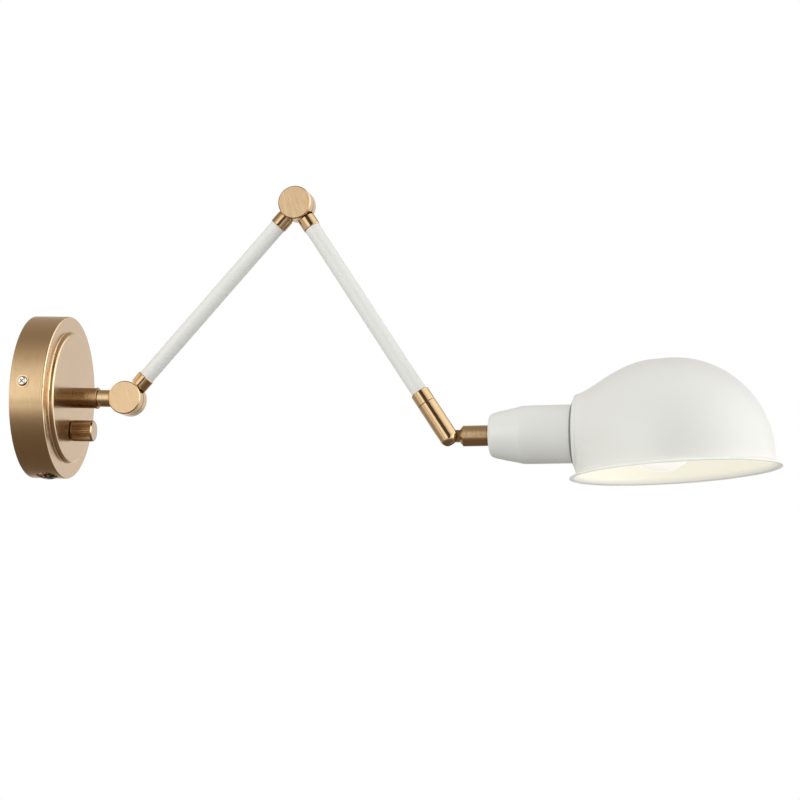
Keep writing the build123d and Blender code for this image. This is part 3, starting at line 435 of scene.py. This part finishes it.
def moulding(name, colour, roughness, coat=0.0):
    """Moulded plastic with a fine even grain."""
    made, tree = material(name, Coat_Weight=coat, Coat_Roughness=0.2)
    place = position(tree)
    grain = noise(place, 4.0, 3.0, 0.6)
    return feed(
        made,
        Base_Color=blend(noise(place, 0.15, 2.0), colour, tuple(c * 0.86 for c in colour)),
        Roughness=roughness + (grain - 0.5) * 0.12,
        Normal=bump(grain, 0.00003, 0.3),
    )


def frosted_glass():
    """Bulb glass, powdered white inside and glowing softly."""
    made, tree = material(
        "frosted_glass", Coat_Weight=0.6, Coat_Roughness=0.05, IOR=1.45, Emission_Strength=1.0
    )
    powder = noise(position(tree), 2.0, 4.0, 0.6)
    return feed(
        made,
        Base_Color=blend(powder, *POWDERED_GLASS),
        Emission_Color=blend(powder, BULB_GLOW, tuple(c * 0.96 for c in BULB_GLOW)),
        Roughness=0.32 + (powder - 0.5) * 0.1,
        Normal=bump(powder, 0.00001, 0.2),
    )


def wear(made, *nodes):
    """Dress nodes in one finish."""
    for node in nodes:
        mesh = NODES[node].data
        mesh.materials.clear()
        mesh.materials.append(made)


wear(
    end_faced(spun_brass("cover_brass", STEM, OUT, cover_lean, 0.24), OUT, COVER_FACE),
    "wall_cover",
)
wear(screw_plate(), "cover_screws")
wear(polished_brass(), "outlet_plug")
wear(spun_brass("sleeve_brass", STEM, OUT, 0.5, 0.16, DARK_BRASS), "stem_sleeve")
wear(spun_brass("shoulder_brass", STEM, OUT, 0.5, 0.14), "shoulder_half")
wear(
    end_faced(spun_brass("knob_brass", KNOB, OUT, 0.5, 0.2, DARK_BRASS), OUT, KNOB_FACE),
    "dimmer_knob",
)
wear(
    straight_brass("cap_brass", CAP_GRAIN, 0.2, 0.28, CAP_BRASS),
    "shoulder_cap", "inner_arm_lower_cap", "inner_arm_upper_cap", "outer_arm_upper_cap",
)
wear(
    spun_brass("inner_lower_brass", SHOULDER, INNER_ARM, 0.2, 0.09),
    "inner_arm_lower_half", "inner_arm_lower_ferrule",
)
wear(
    spun_brass("inner_upper_brass", ELBOW, INNER_ARM, 0.2, 0.09),
    "inner_arm_upper_ferrule", "inner_arm_upper_half",
)
wear(
    spun_brass("outer_brass", ELBOW, OUTER_ARM, 0.2, 0.09),
    "outer_arm_upper_half", "outer_arm_upper_ferrule", "outer_arm_lower_ferrule", "knuckle",
)
wear(neck_brass(), "head_tongue", "neck_lock_ring")
wear(enamel("arm_enamel", ARM_WHITE), "inner_arm_tube", "outer_arm_tube", "socket_cup")
# The seam ring is dark grey: painted shadow in the gap between the cup and the shade.
wear(enamel("seam_painted_shadow", SEAM_PAINTED_SHADOW), "seam_ring")
wear(shade_enamel(), "shade")
wear(frosted_glass(), "bulb_glass")
wear(
    spun_brass("contact_brass", HINGE, HEAD, 0.3, 0.2, CONTACT_BRASS),
    "lampholder_shell", "centre_contact", "bulb_cap",
)
wear(
    plated_steel(),
    "wall_bracket", "outlet_plug_nut", "stem_nipple", "stem_washer", "stem_nut", "dimmer_nut",
    "dimmer_shaft", "journal_ring", "shoulder_bolt", "shoulder_nut", "elbow_bolt", "elbow_nut",
    "swivel_post", "tilt_screw", "head_nipple", "cup_nut",
)
wear(moulding("dark_nylon", NYLON_BLACK, 0.5), "shoulder_washer", "elbow_washer")
wear(
    moulding("white_moulding", MOULDED_WHITE, 0.3, 0.3),
    "lampholder", "shade_clamp_ring", "terminal_block",
)
wear(moulding("dark_moulding", MOULDED_BLACK, 0.4), "dimmer")
wear(moulding("green_steel", EARTH_GREEN, 0.35, 0.4), "earth_screw")
wear(
    moulding("wire_insulation", WIRE_WHITE, 0.35),
    "stem_wires", "inner_arm_wires", "outer_arm_wires", "head_wires",
)


# --- studio -----------------------------------------------------------------------------
MIDDLE = Vector((0.26, 0, 0.03))


def into_scene(thing):
    bpy.context.scene.collection.objects.link(thing)
    return thing


def soft_lamp(name, place, width, height, power):
    """Soft panel that faces the middle of the lamp and isn't mirrored in the brass."""
    panel = bpy.data.lights.new(name, "AREA")
    panel.shape = "RECTANGLE"
    panel.size = width
    panel.size_y = height
    panel.energy = power
    holder = into_scene(bpy.data.objects.new(name, panel))
    holder.location = place
    holder.visible_glossy = False
    holder.rotation_euler = (MIDDLE - Vector(place)).to_track_quat("-Z", "Y").to_euler()


soft_lamp("key_left", (-1.2, -1.8, 0.5), 1.6, 1.6, 27)
soft_lamp("fill_right", (2.3, -0.1, 0.4), 1.4, 1.8, 22)
soft_lamp("top", (0.3, 0.3, 2.2), 2.0, 1.4, 5)

# The room: white to the camera, a plain even light on everything, and to the brass a bright panel
# in front, one on the right and one behind, over a darker lower half.
WHITE = (1.0, 1.0, 1.0)
FRONT_TO_BACK = (
    (0.0, 1.34), (0.06, 1.22), (0.20, 0.64), (0.35, 0.38), (0.5, 0.30), (0.7, 0.36), (0.91, 0.45),
    (0.97, 0.80), (1.0, 0.90),
)
LOW_TO_HIGH = (0.0, 0.38), (0.12, 0.44), (0.37, 0.85), (0.46, 1.0), (1.0, 1.0)
LEFT_TO_RIGHT = (0.66, 0.0), (0.75, 0.95), (0.83, 1.25), (0.93, 1.8), (1.0, 1.8)
DARK_GAP = (0.37, 1.0), (0.395, 0.90), (0.415, 0.40), (0.44, 0.08), (0.66, 0.05), (0.72, 1.0)
EVEN_LIGHT = (0.0, 0.30), (0.4, 0.50), (0.6, 0.58), (1.0, 0.62)

world = bpy.data.worlds.new("studio")
world.use_nodes = True
bpy.context.scene.world = world
sky = world.node_tree
heading = build(sky, "ShaderNodeTexCoord", output="Generated")
side = build(sky, "ShaderNodeSeparateXYZ", None, {"Vector": heading})
depth = side.output("Y")
height = side.output("Z")


def greys(steps, direction, warmth=0.0):
    """Greys that follow one direction of view; warmth browns the darker ones, as a room does."""
    stops = []
    for place, tone in steps:
        brown = warmth * max(0.0, 1 - tone)
        stops.append((place, (tone, tone * (1 - 0.5 * brown), tone * (1 - brown))))
    return build(sky, "ShaderNodeValToRGB", {"stops": stops}, {"Fac": direction * 0.5 + 0.5})


gap = blend(depth.step(-0.6, -0.2), greys(DARK_GAP, side, 0.3), WHITE)
front = vector_math("MULTIPLY", greys(FRONT_TO_BACK, depth, 0.4), gap)
panels = vector_math("MAXIMUM", front, greys(LEFT_TO_RIGHT, side))
mirrored = vector_math("MULTIPLY", panels, greys(LOW_TO_HIGH, height, 0.5))
ray = build(sky, "ShaderNodeLightPath", output="Is Camera Ray")
lit = blend(ray.output("Is Glossy Ray"), greys(EVEN_LIGHT, height), mirrored)
shown = blend(ray + ray.output("Is Transmission Ray"), lit, WHITE)
sky.links.new(shown.socket, sky.nodes["Background"].inputs["Color"])


# A pale paper floor: plain to the camera, dimmer where it lights the lamp, and in the brass dark
# near the lamp and pale far off. From below, it lets the camera see the lamp.
FLOOR_HALF = 3.0
FLOOR_PLACE = (0.3, 0, -0.62)
PAPER_DIM = (0.50, 0.50, 0.50)
PAPER_WHITE = (0.86, 0.86, 0.86), (0.84, 0.84, 0.84)
PAPER_GLOW = (0.14, 0.14, 0.14)
PAPER_NEAR, PAPER_FAR = (0.14, 0.105, 0.075), (0.95, 0.93, 0.90)

floor_mesh = bpy.data.meshes.new("studio_floor")
corners = [(x * FLOOR_HALF, y * FLOOR_HALF, 0) for x, y in ((-1, -1), (1, -1), (1, 1), (-1, 1))]
floor_mesh.from_pydata(corners, [], [(0, 1, 2, 3)])
floor = into_scene(bpy.data.objects.new("studio_floor", floor_mesh))
floor.location = FLOOR_PLACE
paper, paper_tree = material("studio_paper", Roughness=0.9, Emission_Strength=1.0)
paper_place = position(paper_tree)
paper_ray = build(paper_tree, "ShaderNodeLightPath", output="Is Camera Ray")
paper_mirror = blend(vector_math("LENGTH", paper_place).step(400, 3000), PAPER_NEAR, PAPER_FAR)
paper_unseen = blend(paper_ray.output("Is Glossy Ray"), PAPER_DIM, paper_mirror)
feed(
    paper,
    Base_Color=blend(paper_ray, paper_unseen, blend(noise(paper_place, 0.5), *PAPER_WHITE)),
    Emission_Color=blend(paper_ray, NO_GLOW, PAPER_GLOW),
    Alpha=1 - build(paper_tree, "ShaderNodeNewGeometry", output="Backfacing"),
)
floor_mesh.materials.append(paper)

# --- camera -----------------------------------------------------------------------------
CAMERA_PLACE = (0.63736, -1.80437, -0.22081)
YAW, PITCH, ROLL = radians(11.45), radians(6.92), radians(2.40)
forward = Vector((-sin(YAW) * cos(PITCH), cos(YAW) * cos(PITCH), sin(PITCH)))
level = Vector((cos(YAW), sin(YAW), 0))
upward = level.cross(forward)
right = level * cos(ROLL) + upward * sin(ROLL)
top = upward * cos(ROLL) - level * sin(ROLL)
lens = bpy.data.cameras.new("camera")
lens.lens = 117
lens.sensor_width = 36
lens.clip_start = 0.05
camera = into_scene(bpy.data.objects.new("camera", lens))
turn = Matrix((right, top, -forward)).transposed().to_4x4()
camera.matrix_world = Matrix.Translation(CAMERA_PLACE) @ turn
bpy.context.scene.camera = camera
bpy.context.scene.view_settings.view_transform = "Standard"
